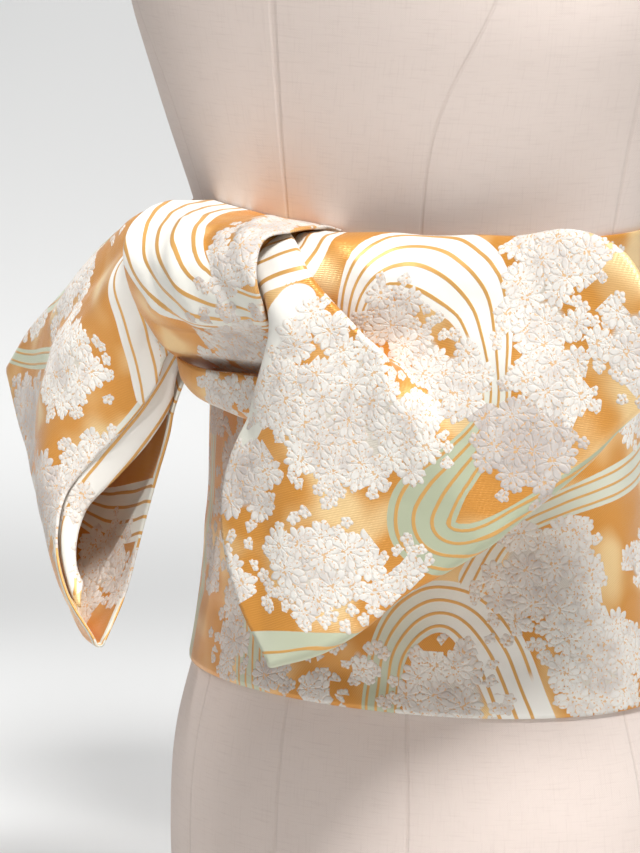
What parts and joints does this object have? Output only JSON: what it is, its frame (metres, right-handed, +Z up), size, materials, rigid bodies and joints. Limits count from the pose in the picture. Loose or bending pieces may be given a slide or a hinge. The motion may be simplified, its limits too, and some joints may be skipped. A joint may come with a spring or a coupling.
{
  "type": "obi sash on a limbless dress form",
  "caption": "Wide brocade obi sash wound round a limbless dress form and tied at the back in a soft drooping bow of folded loops held by a narrow band.",
  "frame": {"origin": "centre of the dress form's flat base, on the torso's axis", "axes": "+Z up; +Y to the wearer's back, where the bow is; +X to the wearer's left"},
  "size_m": [0.4654, 0.2962, 0.8],
  "materials": {
    "brocade": "silk brocade, satin sheen",
    "linen": "matt linen"
  },
  "bodies": {
    "root": {"dress_form": "linen", "obi_wrap": "brocade", "obi_knot": "brocade", "obi_tie": "brocade", "obi_sling": "brocade", "obi_wing_left": "brocade", "obi_wing_left_inner": "brocade", "obi_wing_right": "brocade"}
  },
  "joints": []
}
